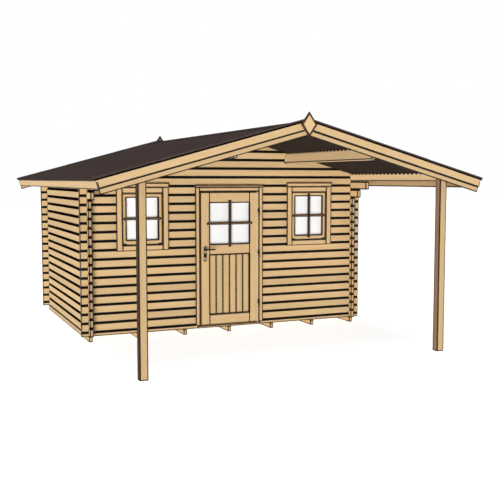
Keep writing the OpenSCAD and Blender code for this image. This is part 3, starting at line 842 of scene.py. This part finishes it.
# Place along the piece and part of the lever's radius
spindle = ((lever_low.y + LEVER_R, 0.8), (lever_low.y + NECK, 1.0), (lever_high.y - NECK, 1.0),
           (lever_high.y - LEVER_R, 0.8))
grip = ((lever_low.x, 0.65), (lever_low.x + LEVER_ROUND, 1.05), (lever_axis.x, 1.3),
        (lever_tip - LEVER_WAIST, 1.2), (lever_tip - LEVER_SWELL, 1.3), (lever_tip - LEVER_ROUND, 1.05),
        (lever_tip, 0.5))
lever_solid.loft([round_ring(lever_axis + Y * y, X, Z, LEVER_R * size) for y, size in spindle])
for y in (lever_low.y + LEVER_R, lever_high.y - LEVER_R):
    lever_solid.loft([round_ring(Vector((x, y, lever_axis.z)), Y, Z, LEVER_R * size) for x, size in grip])
lever_solid.piece("lever_handle", (iron_black,), "handle", ("door_handle",), smooth=True)

# Lock cylinder under the lever, on both faces of the leaf
LOCK_R = 0.015
LOCK_REACH = 0.015
LOCK_DROP = 0.078
LOCK_PROUD = 0.003
plate_low, plate_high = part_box("handle_plates")
lock_centre = lever_axis - Z * LOCK_DROP
lock_outline = []
for i in range(RING_STEPS):
    angle = 2 * math.pi * (i + 0.5) / RING_STEPS
    lift = LOCK_REACH if math.sin(angle) > 0 else -LOCK_REACH
    lock_outline.append(lock_centre + X * (LOCK_R * math.cos(angle)) + Z * (LOCK_R * math.sin(angle) + lift))
lock_solid = Solid()
for y0, y1 in ((plate_low.y - LOCK_PROUD, plate_low.y), (plate_high.y, plate_high.y + LOCK_PROUD)):
    lock_solid.loft([[point + Y * y for point in lock_outline] for y in (y0, y1)])
lock_solid.piece("lock_cylinder", (iron_black,), "door")

# A rose behind each lever and screw heads at the ends of the plates
ROSE_R = 0.018
ROSE_T = 0.005
SCREW_R = 0.008
SCREW_T = 0.002
SCREW_INSET = 0.014
# Part of the thickness and of the radius
KNOB_STEPS = ((0.0, 1.0), (0.6, 1.0), (1.0, 0.8))
fittings = Solid()
plate_x = (plate_low.x + plate_high.x) / 2
knobs = ((Vector((lever_axis.x, 0, lever_axis.z)), ROSE_R, ROSE_T),
         (Vector((plate_x, 0, plate_low.z + SCREW_INSET)), SCREW_R, SCREW_T),
         (Vector((plate_x, 0, plate_high.z - SCREW_INSET)), SCREW_R, SCREW_T))
for centre, radius, thick in knobs:
    for face_y, out in ((plate_low.y, -1), (plate_high.y, 1)):
        fittings.loft([round_ring(centre + Y * (face_y + out * thick * place), X, Z, radius * size)
                       for place, size in KNOB_STEPS])
fittings.piece("plate_fittings", (iron_black,), "door")

# Floor and backdrop, white to the camera, and the light
WORLD_LIGHT = 0.20
FLOOR_HALF = 60.0
FLOOR_GLOW = 0.88
FLOOR_TONE = 0.40


def seen_rays(tree, seen, other):
    """One strength for camera, glossy and transmission rays, and another for light on the object."""
    path = tree.nodes.new("ShaderNodeLightPath")
    most = path.outputs["Is Camera Ray"]
    for name in ("Is Glossy Ray", "Is Transmission Ray"):
        larger = tree.nodes.new("ShaderNodeMath")
        larger.operation = "MAXIMUM"
        tree.links.new(most, larger.inputs[0])
        tree.links.new(path.outputs[name], larger.inputs[1])
        most = larger.outputs[0]
    choice = tree.nodes.new("ShaderNodeMapRange")
    tree.links.new(most, choice.inputs["Value"])
    choice.inputs["To Min"].default_value = other
    choice.inputs["To Max"].default_value = seen
    return choice.outputs[0]


def studio_floor():
    mesh = bpy.data.meshes.new("studio_floor")
    corners = [(-FLOOR_HALF, -FLOOR_HALF, 0), (FLOOR_HALF, -FLOOR_HALF, 0), (FLOOR_HALF, FLOOR_HALF, 0),
               (-FLOOR_HALF, FLOOR_HALF, 0)]
    mesh.from_pydata(corners, [], [(0, 1, 2, 3)])
    made = bpy.data.objects.new("studio_floor", mesh)
    scene.collection.objects.link(made)
    material = bpy.data.materials.new("studio_floor")
    material.use_nodes = True
    tree = material.node_tree
    tree.nodes.clear()
    matte = tree.nodes.new("ShaderNodeBsdfDiffuse")
    matte.inputs["Color"].default_value = (FLOOR_TONE, FLOOR_TONE, FLOOR_TONE, 1)
    glow = tree.nodes.new("ShaderNodeEmission")
    tree.links.new(seen_rays(tree, FLOOR_GLOW, 0.0), glow.inputs["Strength"])
    both = tree.nodes.new("ShaderNodeAddShader")
    tree.links.new(matte.outputs[0], both.inputs[0])
    tree.links.new(glow.outputs[0], both.inputs[1])
    output = tree.nodes.new("ShaderNodeOutputMaterial")
    tree.links.new(both.outputs[0], output.inputs["Surface"])
    mesh.materials.append(material)
    made.visible_shadow = False


world = bpy.data.worlds.new("studio")
scene.world = world
world.use_nodes = True
sky = world.node_tree.nodes["Background"]
sky.inputs["Color"].default_value = (1, 1, 1, 1)
world.node_tree.links.new(seen_rays(world.node_tree, 1.0, WORLD_LIGHT), sky.inputs["Strength"])
studio_floor()

SUN_SPREAD = math.radians(40)
# Name, azimuth from the front towards the right, elevation, strength
SUNS = (("front", -42, -25, 3.60), ("right", 75, -16, 2.20), ("back", 165, -16, 2.40),
        ("top", -30, 80, 2.00))
for name, azimuth, elevation, strength in SUNS:
    lamp = bpy.data.lights.new(f"sun_{name}", "SUN")
    lamp.energy = strength
    lamp.angle = SUN_SPREAD
    made = bpy.data.objects.new(f"sun_{name}", lamp)
    made.rotation_euler = Euler((math.radians(90 - elevation), 0, math.radians(azimuth)))
    scene.collection.objects.link(made)

# Soft lamp in the room, which shows when the door stands open
ROOM_LIGHT = 55.0
ROOM_LAMP_R = 0.25
ROOM_LAMP_Z = 1.8
lamp = bpy.data.lights.new("room_lamp", "POINT")
lamp.energy = ROOM_LIGHT
lamp.shadow_soft_size = ROOM_LAMP_R
room_lamp = bpy.data.objects.new("room_lamp", lamp)
room_lamp.location = (0, (floor_low.y + floor_high.y) / 2, ROOM_LAMP_Z)
scene.collection.objects.link(room_lamp)

# Camera at the photograph's view
CAMERA_PLACE = (-4.0822, -10.4716, 2.0367)
CAMERA_DOWN = 4.945
CAMERA_TURN = -23.494
LENS_MM = 58.966
SENSOR_MM = 36.0
lens = bpy.data.cameras.new("camera")
lens.lens = LENS_MM
lens.sensor_width = SENSOR_MM
camera = bpy.data.objects.new("camera", lens)
camera.location = CAMERA_PLACE
camera.rotation_euler = Euler((math.radians(90 - CAMERA_DOWN), 0, math.radians(CAMERA_TURN)))
scene.collection.objects.link(camera)
scene.camera = camera
scene.view_settings.view_transform = "Standard"
